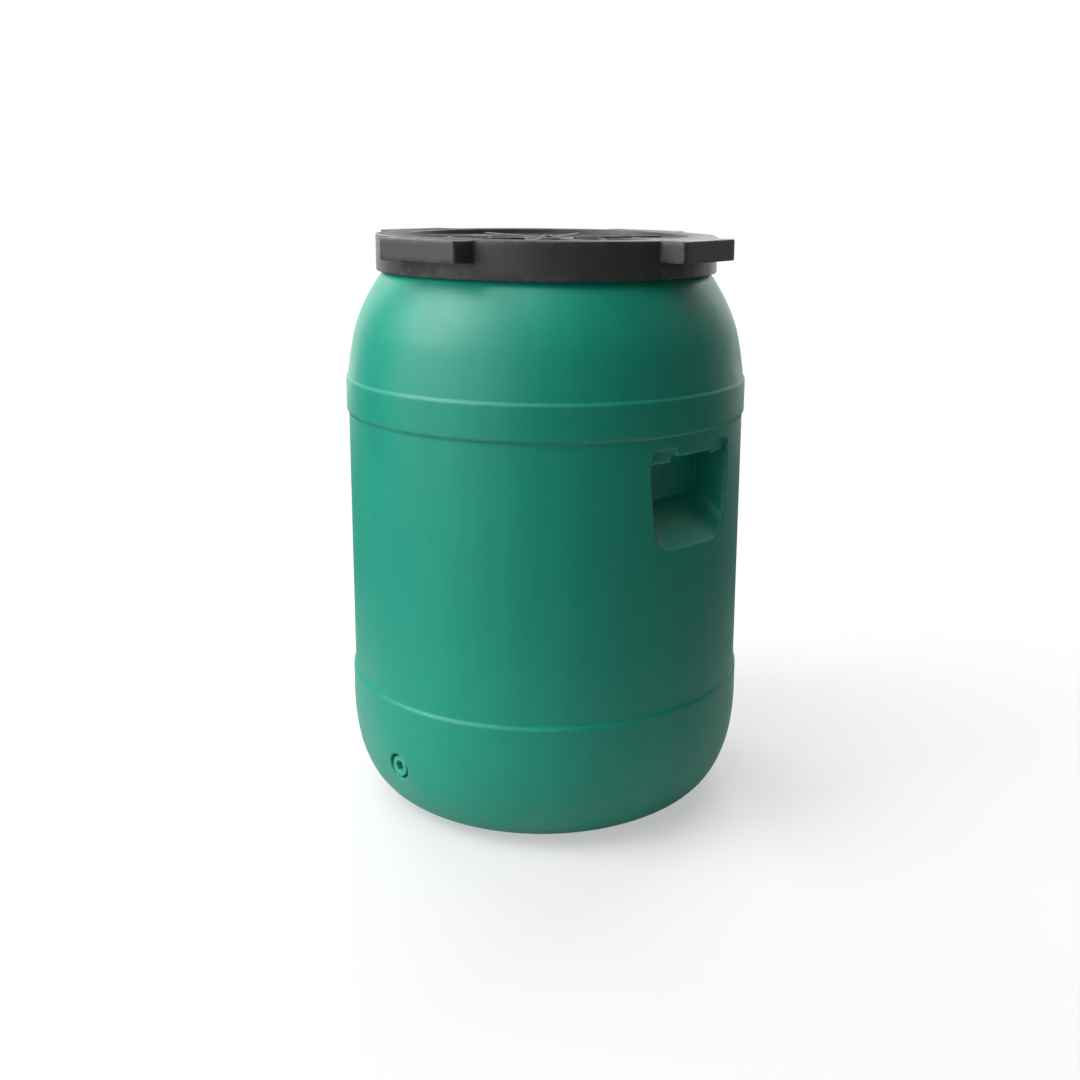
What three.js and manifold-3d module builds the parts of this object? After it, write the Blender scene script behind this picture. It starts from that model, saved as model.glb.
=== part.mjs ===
// Open head plastic drum, about 60 litres, with a screw lid, two moulded hand recesses and a drain fitting.
// Millimetres, +Z up, origin on the floor under the middle of the base.
// The hand recesses face +X and -X, and the drain faces -Y.
import * as THREE from "three";
import { mergeVertices } from "three/addons/utils/BufferGeometryUtils.js";
import Module from "manifold-3d";

const wasm = await Module();
wasm.setup();

// ---------------------------------------------------------------- driving dimensions
const HEIGHT = 565; // floor to the top of the closed lid
const WALL = 3; // blow-moulded wall
const SEGMENTS = 48; // facets round the drum

const R_BAND = 200; // rolling band and lower knuckle
const R_WALL = 198; // plain wall between them
const Z_BAND_TOP = 427;
const Z_BAND_LOW = 393.5;
const Z_KNUCKLE = 129.5;

const R_NECK = 161; // outside of the neck between the threads
const R_MOUTH = 157; // clear mouth
const Z_NECK = 529; // foot of the neck
const Z_RIM = 555.9; // top of the neck

const THREAD_STARTS = 3;
const THREAD_LEAD = 24;
const NECK_CREST = 164.5;
const LID_CREST = 162.2;

const R_LID = 168.5; // outside of the lid's skirt
const R_LID_IN = 165.2;
const Z_LID_LOW = 530;
const LID_PLATE = 3.2;
const R_PANEL = 140; // sunk panel in the lid's top
const PANEL_DEPTH = 5;
const LUG_FACE = 188; // flat outer face of a lid lug, from the axis
const LUG_WIDTH = 90;
const LUG_DROP = 20;
const LUG_TURN = 7.8; // lugs sit this many degrees past the +X and +Y axes
const LUG_WEB = 3;

const DRAIN_Z = 64; // height of the drain's axis
const DRAIN_SEAT = 188; // flat seat of the drain plug, from the axis
const BOSS_INNER = 174; // inner end of the moulded boss the plug screws into
const PLUG_PITCH = 3;

// ---------------------------------------------------------------- helpers
const rad = (d) => (d * Math.PI) / 180;

function solid(geometry) {
  const g = geometry.clone();
  g.deleteAttribute("normal");
  g.deleteAttribute("uv");
  const m = mergeVertices(g, 1e-4);
  const made = new wasm.Manifold(
    new wasm.Mesh({
      numProp: 3,
      vertProperties: new Float32Array(m.attributes.position.array),
      triVerts: new Uint32Array(m.index.array),
    }),
  );
  return made;
}

function geometryOf(manifold) {
  const m = manifold.getMesh();
  const n = m.numProp;
  const v = new Float32Array((m.vertProperties.length / n) * 3);
  for (let i = 0; i < v.length / 3; i++)
    v.set(m.vertProperties.subarray(i * n, i * n + 3), i * 3);
  const g = new THREE.BufferGeometry();
  g.setAttribute("position", new THREE.BufferAttribute(v, 3));
  g.setIndex(new THREE.BufferAttribute(new Uint32Array(m.triVerts), 1));
  g.computeVertexNormals();
  return g;
}

// A solid of revolution about Z. The profile is [radius, height] pairs, going up the outside.
function turned(profile, segments = SEGMENTS) {
  const g = new THREE.LatheGeometry(
    profile.map(([r, z]) => new THREE.Vector2(r, z)),
    segments,
  );
  g.rotateX(Math.PI / 2);
  return solid(g);
}

function cylinder(radius, from, to, segments = 48) {
  return turned(
    [
      [0, from],
      [radius, from],
      [radius, to],
      [0, to],
    ],
    segments,
  );
}

// A solid of revolution whose own axis is laid along -Y, with heights measured outwards from the drum's axis.
function turnedOutwards(profile, segments = 32) {
  const g = new THREE.LatheGeometry(
    profile.map(([r, h]) => new THREE.Vector2(r, h)),
    segments,
  );
  g.rotateX(Math.PI); // +Y to -Y
  g.translate(0, 0, DRAIN_Z);
  return solid(g);
}

function box(x0, x1, y0, y1, z0, z1) {
  const g = new THREE.BoxGeometry(x1 - x0, y1 - y0, z1 - z0);
  g.translate((x0 + x1) / 2, (y0 + y1) / 2, (z0 + z1) / 2);
  return solid(g);
}

// An outline in the XZ plane, extruded along Y from -half to +half.
function extrudedY(points, half) {
  const shape = new THREE.Shape(points.map(([x, z]) => new THREE.Vector2(x, z)));
  const g = new THREE.ExtrudeGeometry(shape, {
    depth: 2 * half,
    bevelEnabled: false,
  });
  g.rotateX(Math.PI / 2);
  g.translate(0, half, 0);
  return solid(g);
}

// An outline in the YZ plane, extruded along X.
function extrudedX(points, x0, x1) {
  const shape = new THREE.Shape(points.map(([y, z]) => new THREE.Vector2(y, z)));
  const g = new THREE.ExtrudeGeometry(shape, {
    depth: x1 - x0,
    bevelEnabled: false,
  });
  // shape x -> Y, shape y -> Z, extrusion -> X
  const m = new THREE.Matrix4().set(0, 0, 1, x0, 1, 0, 0, 0, 0, 1, 0, 0, 0, 0, 0, 1);
  g.applyMatrix4(m);
  return solid(g);
}

// One start of a screw thread: a trapezoid ridge swept up a helix, fading out at both ends.
// root and crest are radii; the ridge is rootWidth and crestWidth tall there.
function threadStart({ root, crest, rootWidth, crestWidth, z0, from, span, lead, steps, bite }) {
  const pos = [];
  const tri = [];
  for (let i = 0; i <= steps; i++) {
    const t = i / steps;
    const a = rad(from + span * t);
    const z = z0 + (lead * (from + span * t - from)) / 360;
    const fade = Math.min(1, Math.min(t, 1 - t) / 0.08);
    const c = root + (crest - root) * (0.12 + 0.88 * fade);
    const wr = rootWidth * (0.55 + 0.45 * fade);
    const wc = crestWidth * (0.55 + 0.45 * fade);
    for (const [r, h] of [
      [bite, -wr / 2],
      [c, -wc / 2],
      [c, wc / 2],
      [bite, wr / 2],
    ])
      pos.push(r * Math.cos(a), r * Math.sin(a), z + h);
  }
  for (let i = 0; i < steps; i++)
    for (let k = 0; k < 4; k++) {
      const a = 4 * i + k;
      const b = 4 * i + ((k + 1) % 4);
      tri.push(a, b, b + 4, a, b + 4, a + 4);
    }
  const e = 4 * steps;
  tri.push(0, 2, 1, 0, 3, 2, e, e + 1, e + 2, e, e + 2, e + 3);
  const g = new THREE.BufferGeometry();
  g.setAttribute("position", new THREE.BufferAttribute(new Float32Array(pos), 3));
  g.setIndex(tri);
  let s = solid(g);
  if (s.volume() < 0) {
    for (let i = 0; i < tri.length; i += 3) [tri[i + 1], tri[i + 2]] = [tri[i + 2], tri[i + 1]];
    g.setIndex(tri);
    s = solid(g);
  }
  return s;
}

// ---------------------------------------------------------------- drum body
const BODY_OUTSIDE = [
  [0, 7],
  [98, 7],
  [112, 0],
  [146, 0],
  [160, 4.5],
  [174.5, 13.5],
  [184, 25],
  [191, 40],
  [196, 57],
  [199, 78],
  [R_BAND, 92],
  [R_BAND, Z_KNUCKLE - 2],
  [R_WALL, Z_KNUCKLE + 1.5],
  [R_WALL, Z_BAND_LOW - 1.5],
  [R_BAND, Z_BAND_LOW + 1.5],
  [R_BAND, Z_BAND_TOP - 1.5],
  [R_WALL, Z_BAND_TOP + 1.5],
  [196, 443],
  [192.6, 464],
  [186.5, 485],
  [177, 505.5],
  [165.5, 524],
  [R_NECK, Z_NECK + 2],
  [R_NECK, Z_RIM - 0.8],
  [R_NECK - 0.8, Z_RIM],
  [0, Z_RIM],
];
const BODY_INSIDE = [
  [0, 10],
  [97, 10],
  [113, 3.2],
  [145, 3.2],
  [158.5, 7.5],
  [172, 15.7],
  [181, 26.6],
  [187.9, 41.2],
  [193, 57.8],
  [196, 78.5],
  [R_BAND - WALL, 93],
  [R_BAND - WALL, Z_KNUCKLE - 3],
  [R_WALL - WALL, Z_KNUCKLE + 0.5],
  [R_WALL - WALL, 429],
  [193, 442.3],
  [189.7, 463],
  [183.7, 483.8],
  [174.3, 504],
  [162.8, 522.5],
  [R_MOUTH, Z_NECK + 1],
  [R_MOUTH, Z_RIM + 5],
  [0, Z_RIM + 5],
];

// The hand recess at +X: a scoop with a lip at the top that the fingers curl behind.
const RECESS_HALF = 55;
const RECESS_BACK = 157; // back of the recess, from the axis
const GRIP_TAB = 27.5; // half the width of the grip's middle part
// Upright section through the middle of the recess: its bottom ramps out, its top runs up behind the lip.
const RECESS_SECTION = [
  [212, 287],
  [212, 367],
  [190, 367],
  [189, 381],
  [184.5, 386],
  [164, 386],
  [RECESS_BACK, 378],
  [RECESS_BACK, 324],
  [160, 315],
  [184.8, 292],
  [194, 287],
];
const BACKING_SECTION = [
  [212, 284],
  [212, 389],
  [163, 389],
  [RECESS_BACK - WALL, 379.2],
  [RECESS_BACK - WALL, 323],
  [157.4, 313.2],
  [182.8, 289.5],
  [193, 284],
];
function recessOutline(half, low, r, top) {
  const pts = [];
  const bottomHalf = half - 5;
  for (let i = 0; i <= 4; i++) {
    const a = rad(180 + 22.5 * i);
    pts.push([-bottomHalf + r + r * Math.cos(a), low + r + r * Math.sin(a)]);
  }
  for (let i = 0; i <= 4; i++) {
    const a = rad(270 + 22.5 * i);
    pts.push([bottomHalf - r + r * Math.cos(a), low + r + r * Math.sin(a)]);
  }
  pts.push([half, 356], [half, top - 8], [half - 8, top], [-half + 8, top], [-half, top - 8], [-half, 356]);
  return pts;
}
// The recess narrows towards its back.
function drafted(half, low, top, narrower) {
  return wasm.Manifold.hull([
    extrudedX(recessOutline(half, low, 22, top), 199, 215),
    extrudedX(recessOutline(half - narrower, low, 22, top), 148, 149),
  ]);
}
const hollow = extrudedY(RECESS_SECTION, 70).intersect(drafted(RECESS_HALF, 287, 395, 7));
const backing = extrudedY(BACKING_SECTION, 70).intersect(drafted(RECESS_HALF + 3.2, 284, 398, 7));
// The grip's lower edge is cut a little higher in the middle, and its two corners are stepped back.
const gripEdge = box(188.5, 212, -GRIP_TAB, GRIP_TAB, 366, 373);
const corners = box(186, 215, -51, -GRIP_TAB, 366, 381)
  .add(box(186, 215, GRIP_TAB, 51, 366, 381))
  .subtract(cylinder(194, 360, 390, SEGMENTS));
const recessCut = hollow.add(gripEdge).add(corners);
const mirrorX = (m) => m.rotate([0, 0, 180]);

// The drain: a round pocket in the knuckle with a flat seat, and behind it a boss the plug screws into.
const boss = turnedOutwards(
  [
    [0, BOSS_INNER],
    [16, BOSS_INNER],
    [16, 205],
    [0, 205],
  ],
  24,
);
const pocket = turnedOutwards(
  [
    [0, DRAIN_SEAT],
    [12, DRAIN_SEAT],
    [12.6, 215],
    [0, 215],
  ],
  24,
);
const bore = turnedOutwards(
  [
    [0, 160],
    [8.3, 160],
    [8.3, 200],
    [0, 200],
  ],
  24,
);

const outside = turned(BODY_OUTSIDE);
let body = outside
  .subtract(turned(BODY_INSIDE).subtract(backing).subtract(mirrorX(backing)).subtract(boss))
  .subtract(recessCut)
  .subtract(mirrorX(recessCut))
  .subtract(pocket)
  .subtract(bore);

for (let k = 0; k < THREAD_STARTS; k++)
  body = body.add(
    threadStart({
      root: R_NECK,
      crest: NECK_CREST,
      rootWidth: 4,
      crestWidth: 1.8,
      bite: R_NECK - 1.5,
      z0: 536.5,
      from: 120 * k,
      span: 165,
      lead: THREAD_LEAD,
      steps: 16,
    }),
  );

// ---------------------------------------------------------------- screw lid
const zPanel = HEIGHT - PANEL_DEPTH;
let lid = turned([
  [0, zPanel - LID_PLATE],
  [R_PANEL + LID_PLATE, zPanel - LID_PLATE],
  [R_PANEL + LID_PLATE, HEIGHT - LID_PLATE],
  [148, HEIGHT - LID_PLATE],
  [148, HEIGHT - LID_PLATE - 2.6],
  [150, HEIGHT - LID_PLATE - 2.6],
  [150, HEIGHT - LID_PLATE],
  [R_LID_IN, HEIGHT - LID_PLATE],
  [R_LID_IN, Z_LID_LOW],
  [R_LID, Z_LID_LOW],
  [R_LID, HEIGHT - 1.2],
  [R_LID - 1.2, HEIGHT],
  [R_PANEL, HEIGHT],
  [R_PANEL, zPanel],
  [0, zPanel],
]);

// Four hollow lugs, each with two webs inside.
const skirtCore = cylinder(R_LID_IN + 0.8, Z_LID_LOW - 5, HEIGHT + 5, SEGMENTS);
function lug() {
  const h = LUG_WIDTH / 2;
  const block = box(150, LUG_FACE, -h, h, HEIGHT - LUG_DROP, HEIGHT).subtract(skirtCore);
  const cell = (LUG_WIDTH - 2 * LUG_WEB - 2 * LUG_WEB) / 3;
  let cells = null;
  for (let k = 0; k < 3; k++) {
    const y0 = -h + LUG_WEB + k * (cell + LUG_WEB);
    const c = box(150, LUG_FACE - 2.8, y0, y0 + cell, HEIGHT - LUG_DROP - 2, HEIGHT - 3);
    cells = cells ? cells.add(c) : c;
  }
  return block.subtract(cells.subtract(cylinder(R_LID, Z_LID_LOW - 5, HEIGHT + 5, SEGMENTS)));
}
const oneLug = lug();
for (let k = 0; k < 4; k++) lid = lid.add(oneLug.rotate([0, 0, LUG_TURN + 90 * k]));

// Stiffening ribs and the hub on the sunk panel.
for (let k = 0; k < 8; k++) {
  const rib = box(24, R_PANEL + 1.5, -1.5, 1.5, zPanel - 1, zPanel + 2);
  lid = lid.add(rib.rotate([0, 0, LUG_TURN + 22.5 + 45 * k]));
}
lid = lid.add(
  turned(
    [
      [0, zPanel - 1],
      [26, zPanel - 1],
      [26, zPanel + 2],
      [5.5, zPanel + 2],
      [4.5, zPanel + 4],
      [0, zPanel + 4],
    ],
    24,
  ),
);

// The lid's thread runs just under the neck's.
for (let k = 0; k < THREAD_STARTS; k++)
  lid = lid.add(
    threadStart({
      root: R_LID_IN,
      crest: LID_CREST,
      rootWidth: 4,
      crestWidth: 1.8,
      bite: R_LID_IN + 1.5,
      z0: 536.5 + (THREAD_LEAD * 30) / 360 - 3.4,
      from: 120 * k + 30,
      span: 110,
      lead: THREAD_LEAD,
      steps: 11,
    }),
  );

// ---------------------------------------------------------------- lid gasket
const Z_FLANGE = Z_RIM + 0.3; // underside of the inner disc's flange
const Z_GASKET = Z_FLANGE + 2.3;
const gasket = turned([
  [152, Z_GASKET],
  [162.6, Z_GASKET],
  [162.6, HEIGHT - LID_PLATE - 0.3],
  [152, HEIGHT - LID_PLATE - 0.3],
  [152, Z_GASKET],
]);

// ---------------------------------------------------------------- inner sealing disc
const Z_DISC = 533;
let disc = turned([
  [0, Z_DISC],
  [152, Z_DISC],
  [155.5, Z_DISC + 3.5],
  [155.5, Z_FLANGE],
  [161, Z_FLANGE],
  [161, Z_FLANGE + 2],
  [153.5, Z_FLANGE + 2],
  [153.5, Z_DISC + 4.4],
  [151.2, Z_DISC + 2.2],
  [0, Z_DISC + 2.2],
]);
// Two finger tabs stand on the disc.
for (const s of [-1, 1])
  disc = disc.add(
    extrudedY(
      [
        [s * 96 - 5, Z_DISC + 1],
        [s * 96 + 5, Z_DISC + 1],
        [s * 96 + 1.5, Z_DISC + 5],
        [s * 96 + 1.3, Z_DISC + 20],
        [s * 96 - 1.3, Z_DISC + 20],
        [s * 96 - 1.5, Z_DISC + 5],
      ],
      28,
    ),
  );

// ---------------------------------------------------------------- drain fitting
const plugSeal = turnedOutwards(
  [
    [8.1, DRAIN_SEAT + 0.3],
    [9.8, DRAIN_SEAT + 0.3],
    [9.8, DRAIN_SEAT + 2.3],
    [8.1, DRAIN_SEAT + 2.3],
    [8.1, DRAIN_SEAT + 0.3],
  ],
  24,
);
const HEAD_BACK = DRAIN_SEAT + 2.6;
const HEAD_FACE = DRAIN_SEAT + 7.8;
let plug = turnedOutwards(
  [
    [0, BOSS_INNER + 1],
    [6.2, BOSS_INNER + 1],
    [6.8, BOSS_INNER + 1.8],
    [6.8, HEAD_BACK],
    [10, HEAD_BACK],
    [10, HEAD_FACE - 0.8],
    [9.2, HEAD_FACE],
    [0, HEAD_FACE],
  ],
  24,
);
// The plug's thread, cut short of the boss's bore.
const plugThread = threadStart({
  crest: 7.9,
  root: 6.8,
  rootWidth: 2,
  crestWidth: 0.8,
  bite: 6.1,
  z0: 0,
  from: 0,
  span: 900,
  lead: PLUG_PITCH,
  steps: 40,
})
  .rotate([90, 0, 0])
  .translate([0, -(BOSS_INNER + 3.2), DRAIN_Z]);
const socket = turnedOutwards(
  [
    [0, HEAD_FACE - 9.5],
    [5.5, HEAD_FACE - 9.5],
    [5.5, 210],
    [0, 210],
  ],
  6,
);
plug = plug.add(plugThread).subtract(socket);

// ---------------------------------------------------------------- scene
const drumGreen = new THREE.MeshStandardMaterial({ color: 0x12785f, roughness: 0.42, metalness: 0 });
const lidBlack = new THREE.MeshStandardMaterial({ color: 0x2b2b2c, roughness: 0.5, metalness: 0 });
const rubber = new THREE.MeshStandardMaterial({ color: 0x1a1a1a, roughness: 0.8, metalness: 0 });
const discGrey = new THREE.MeshStandardMaterial({ color: 0xcfd3cf, roughness: 0.45, metalness: 0 });

export const drum = new THREE.Group();
function put(name, manifold, material) {
  const mesh = new THREE.Mesh(geometryOf(manifold), material);
  mesh.name = name;
  drum.add(mesh);
}
put("drum_body", body, drumGreen);
put("screw_lid", lid, lidBlack);
put("lid_gasket", gasket, rubber);
put("inner_disc", disc, discGrey);
put("drain_plug", plug, drumGreen);
put("drain_plug_seal", plugSeal, rubber);

export default drum;
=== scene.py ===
import math

import bpy
import bmesh
import numpy as np
from mathutils import Matrix, Vector


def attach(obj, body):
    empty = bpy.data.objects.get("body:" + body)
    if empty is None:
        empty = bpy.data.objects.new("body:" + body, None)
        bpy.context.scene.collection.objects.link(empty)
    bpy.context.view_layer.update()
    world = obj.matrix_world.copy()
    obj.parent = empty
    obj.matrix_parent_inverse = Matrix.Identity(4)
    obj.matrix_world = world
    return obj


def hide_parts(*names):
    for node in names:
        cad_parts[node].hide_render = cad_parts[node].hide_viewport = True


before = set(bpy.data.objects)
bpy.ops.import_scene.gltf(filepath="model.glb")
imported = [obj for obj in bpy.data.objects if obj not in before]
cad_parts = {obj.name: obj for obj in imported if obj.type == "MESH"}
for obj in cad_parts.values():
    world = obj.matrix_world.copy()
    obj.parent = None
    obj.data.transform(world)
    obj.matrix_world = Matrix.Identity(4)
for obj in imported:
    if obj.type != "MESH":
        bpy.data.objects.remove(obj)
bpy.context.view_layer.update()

# Millimetres in this script's tables, metres in Blender.
MM = 0.001
rad = math.radians

# ------------------------------------------------------------------ camera
# Row frame: the drum's axis is Z; the camera stands 45.5 degrees to the left of the right-hand recess.
H_TOP = 565.0
CAM_DIST = 1231.8
CAM_UP = 45.6
PITCH = rad(11.30)
ROLL = rad(-0.65)
YAW = rad(-2.11)
FOCAL_PX = 1223.2
CX, CY, FRAME_PX = 590.7, 432.0, 1080.0
AZ = rad(45.5)


def make_camera():
    rot = Matrix.Rotation(AZ, 3, "Z")
    xr = Vector((math.cos(YAW), math.sin(YAW), 0))
    fh = Vector((-math.sin(YAW), math.cos(YAW), 0))
    fwd = fh * math.cos(PITCH) + Vector((0, 0, -math.sin(PITCH)))
    upv = fh * math.sin(PITCH) + Vector((0, 0, math.cos(PITCH)))
    right = xr * math.cos(ROLL) - upv * math.sin(ROLL)
    up = xr * math.sin(ROLL) + upv * math.cos(ROLL)
    right, up, fwd = rot @ right, rot @ up, rot @ fwd
    eye = rot @ Vector((0, -CAM_DIST, H_TOP + CAM_UP)) * MM
    m = Matrix.Identity(4)
    for i in range(3):
        m[i][0] = right[i]
        m[i][1] = up[i]
        m[i][2] = -fwd[i]
        m[i][3] = eye[i]
    data = bpy.data.cameras.new("camera")
    data.sensor_width = 36.0
    data.lens = FOCAL_PX / FRAME_PX * 36.0
    data.shift_x = -(CX - FRAME_PX / 2) / FRAME_PX
    data.shift_y = -(FRAME_PX / 2 - CY) / FRAME_PX
    data.clip_start = 0.02
    data.clip_end = 60
    cam = bpy.data.objects.new("camera", data)
    cam.matrix_world = m
    bpy.context.scene.collection.objects.link(cam)
    bpy.context.scene.camera = cam
    return cam


make_camera()


# ------------------------------------------------------------------ mesh helpers
class Shape:
    """Vertices in millimetres and faces, built up piece by piece."""

    def __init__(self):
        self.v = []
        self.f = []

    def add(self, verts, faces):
        n = len(self.v)
        self.v.extend(tuple(map(float, p)) for p in verts)
        self.f.extend(tuple(n + i for i in face) for face in faces)
        return n

    def merge(self, other):
        self.add(other.v, other.f)
        return self

    def turned(self, matrix):
        out = Shape()
        out.v = [tuple(matrix @ Vector(p)) for p in self.v]
        out.f = list(self.f)
        return out


def fillet(points, radii, steps=5):
    """Rounds the corners of an open polyline of (r, z) points. radii has one entry per point; the two ends are kept."""
    pts = [np.array(p, float) for p in points]
    out = [pts[0]]
    for i in range(1, len(pts) - 1):
        r = radii[i] if i < len(radii) else 0
        a, b, c = pts[i - 1], pts[i], pts[i + 1]
        u, w = a - b, c - b
        lu, lw = np.linalg.norm(u), np.linalg.norm(w)
        u, w = u / lu, w / lw
        cosang = float(np.clip(u @ w, -1, 1))
        ang = math.acos(cosang)
        if r <= 0 or ang > math.pi - 0.02:
            out.append(b)
            continue
        t = min(r / math.tan(ang / 2), 0.49 * lu, 0.49 * lw)
        r2 = t * math.tan(ang / 2)
        bis = u + w
        bis = bis / np.linalg.norm(bis)
        centre = b + bis * (r2 / math.sin(ang / 2))
        p0, p1 = b + u * t, b + w * t
        a0 = math.atan2(*(p0 - centre)[::-1])
        a1 = math.atan2(*(p1 - centre)[::-1])
        d = (a1 - a0 + math.pi) % (2 * math.pi) - math.pi
        for k in range(steps + 1):
            aa = a0 + d * k / steps
            out.append(centre + r2 * np.array([math.cos(aa), math.sin(aa)]))
    out.append(pts[-1])
    return [tuple(p) for p in out]


def lathe(profile, segments=160, matrix=None):
    """Turns (r, z) points about Z. Points at r = 0 become poles; a profile that doesn't touch the axis closes on itself.
    The profile runs so that the outside is on its right as it goes up, or is flipped later by recalculation."""
    s = Shape()
    closed = profile[0][0] > 1e-6
    ring = []
    for r, z in profile:
        if r <= 1e-6:
            ring.append([s.add([(0, 0, z)], [])])
        else:
            a = [2 * math.pi * k / segments for k in range(segments)]
            n = s.add([(r * math.cos(t), r * math.sin(t), z) for t in a], [])
            ring.append([n + k for k in range(segments)])
    pairs = list(zip(ring[:-1], ring[1:]))
    if closed:
        pairs.append((ring[-1], ring[0]))
    for a, b in pairs:
        for k in range(segments):
            k2 = (k + 1) % segments
            if len(a) == 1 and len(b) == 1:
                continue
            if len(a) == 1:
                s.f.append((a[0], b[k2], b[k]))
            elif len(b) == 1:
                s.f.append((a[k], a[k2], b[0]))
            else:
                s.f.append((a[k], a[k2], b[k2], b[k]))
    if matrix is not None:
        s = s.turned(matrix)
    return s


def helix(base_r, crest_r, base_w, crest_w, z0, start, span, lead, steps, fade=0.1, bite=1.2):
    """A thread ridge with rounded flanks, fading out at both ends."""
    s = Shape()
    rings = []
    sign = 1 if crest_r > base_r else -1
    for i in range(steps + 1):
        t = i / steps
        a = rad(start + span * t)
        z = z0 + lead * span * t / 360
        f = min(1.0, min(t, 1 - t) / fade)
        f = f * f * (3 - 2 * f)
        h = (crest_r - base_r) * max(f, 0.02)
        w = 0.45 + 0.55 * f
        sec = [(-bite * sign, -base_w / 2 * w), (0, -base_w / 2 * w), (h * 0.35, -(base_w * 0.62 + crest_w * 0.38) / 2 * w),
               (h * 0.8, -(base_w * 0.2 + crest_w * 0.8) / 2 * w), (h * 0.97, -crest_w * 0.36 * w), (h, 0),
               (h * 0.97, crest_w * 0.36 * w), (h * 0.8, (base_w * 0.2 + crest_w * 0.8) / 2 * w),
               (h * 0.35, (base_w * 0.62 + crest_w * 0.38) / 2 * w), (0, base_w / 2 * w), (-bite * sign, base_w / 2 * w)]
        n = s.add([((base_r + q) * math.cos(a), (base_r + q) * math.sin(a), z + dz) for q, dz in sec], [])
        rings.append(list(range(n, n + len(sec))))
    m = len(rings[0])
    for a, b in zip(rings[:-1], rings[1:]):
        for k in range(m):
            k2 = (k + 1) % m
            s.f.append((a[k], a[k2], b[k2], b[k]))
    s.f.append(tuple(reversed(rings[0])))
    s.f.append(tuple(rings[-1]))
    return s


def rounded_bar(x0, x1, half, z0, z1, r=0.8, end=1.2, n=5):
    """A straight rib along X with a rounded top and rounded ends."""
    s = Shape()
    sec = [(-half, z0), (-half, z1 - r)]
    for k in range(1, n):
        a = math.pi - (math.pi / 2) * k / n
        sec.append((-half + r + r * math.cos(a), z1 - r + r * math.sin(a)))
    sec.append((-half + r, z1))
    sec += [(-y, z) for y, z in reversed(sec)]
    xs = [(x0, 0.0), (x0 + end * 0.3, 0.7), (x0 + end, 1.0), (x1 - end, 1.0), (x1 - end * 0.3, 0.7), (x1, 0.0)]
    rings = []
    for x, f in xs:
        zt = z0 + 0.2
        rings.append(s.add([(x, y * (0.45 + 0.55 * f), zt + (z - zt) * (0.35 + 0.65 * f) if z > zt else z) for y, z in sec], []))
    m = len(sec)
    for a, b in zip(rings[:-1], rings[1:]):
        for k in range(m):
            k2 = (k + 1) % m
            s.f.append((a + k, a + k2, b + k2, b + k))
    s.f.append(tuple(range(rings[0] + m - 1, rings[0] - 1, -1)))
    s.f.append(tuple(range(rings[-1], rings[-1] + m)))
    return s


def finish_mesh(name, shape, material, sharp=None, subdivide=0, wear=True):
    me = bpy.data.meshes.new(name)
    me.from_pydata([(x * MM, y * MM, z * MM) for x, y, z in shape.v], [], shape.f)
    bm = bmesh.new()
    bm.from_mesh(me)
    bmesh.ops.remove_doubles(bm, verts=bm.verts, dist=2e-6)
    bmesh.ops.recalc_face_normals(bm, faces=bm.faces)
    bm.to_mesh(me)
    bm.free()
    me.shade_smooth()
    if sharp:
        me.set_sharp_from_angle(angle=rad(sharp))
    me.update()
    ob = bpy.data.objects.new(name, me)
    bpy.context.scene.collection.objects.link(ob)
    me.materials.append(material)
    if wear:
        edge_wear(me)
    if subdivide:
        m = ob.modifiers.new("smooth", "SUBSURF")
        m.levels = subdivide
        m.render_levels = subdivide
    return ob


def edge_wear(me):
    """Stores how convex each vertex is, so that the material can rub its corners."""
    bm = bmesh.new()
    bm.from_mesh(me)
    val = np.zeros(len(bm.verts))
    for e in bm.edges:
        if len(e.link_faces) != 2:
            continue
        a, b = e.link_faces
        if a.normal.length < 0.5 or b.normal.length < 0.5:
            continue
        ang = a.normal.angle(b.normal, 0.0)
        convex = (b.calc_center_median() - a.calc_center_median()).dot(a.normal) < 0
        if convex:
            for v in e.verts:
                val[v.index] = max(val[v.index], ang)
    # one ring of spreading, so that the mask has a soft border
    soft = val.copy()
    for e in bm.edges:
        i, j = e.verts[0].index, e.verts[1].index
        soft[i] = max(soft[i], 0.45 * val[j])
        soft[j] = max(soft[j], 0.45 * val[i])
    bm.free()
    out = np.clip((soft - rad(6)) / rad(20), 0, 1)
    at = me.attributes.new("wear", "FLOAT", "POINT")
    at.data.foreach_set("value", out.astype(np.float32))


# ------------------------------------------------------------------ materials
def nodes_of(mat):
    mat.use_nodes = True
    nt = mat.node_tree
    nt.nodes.clear()
    out = nt.nodes.new("ShaderNodeOutputMaterial")
    bs = nt.nodes.new("ShaderNodeBsdfPrincipled")
    nt.links.new(bs.outputs[0], out.inputs[0])
    return nt, bs


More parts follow.
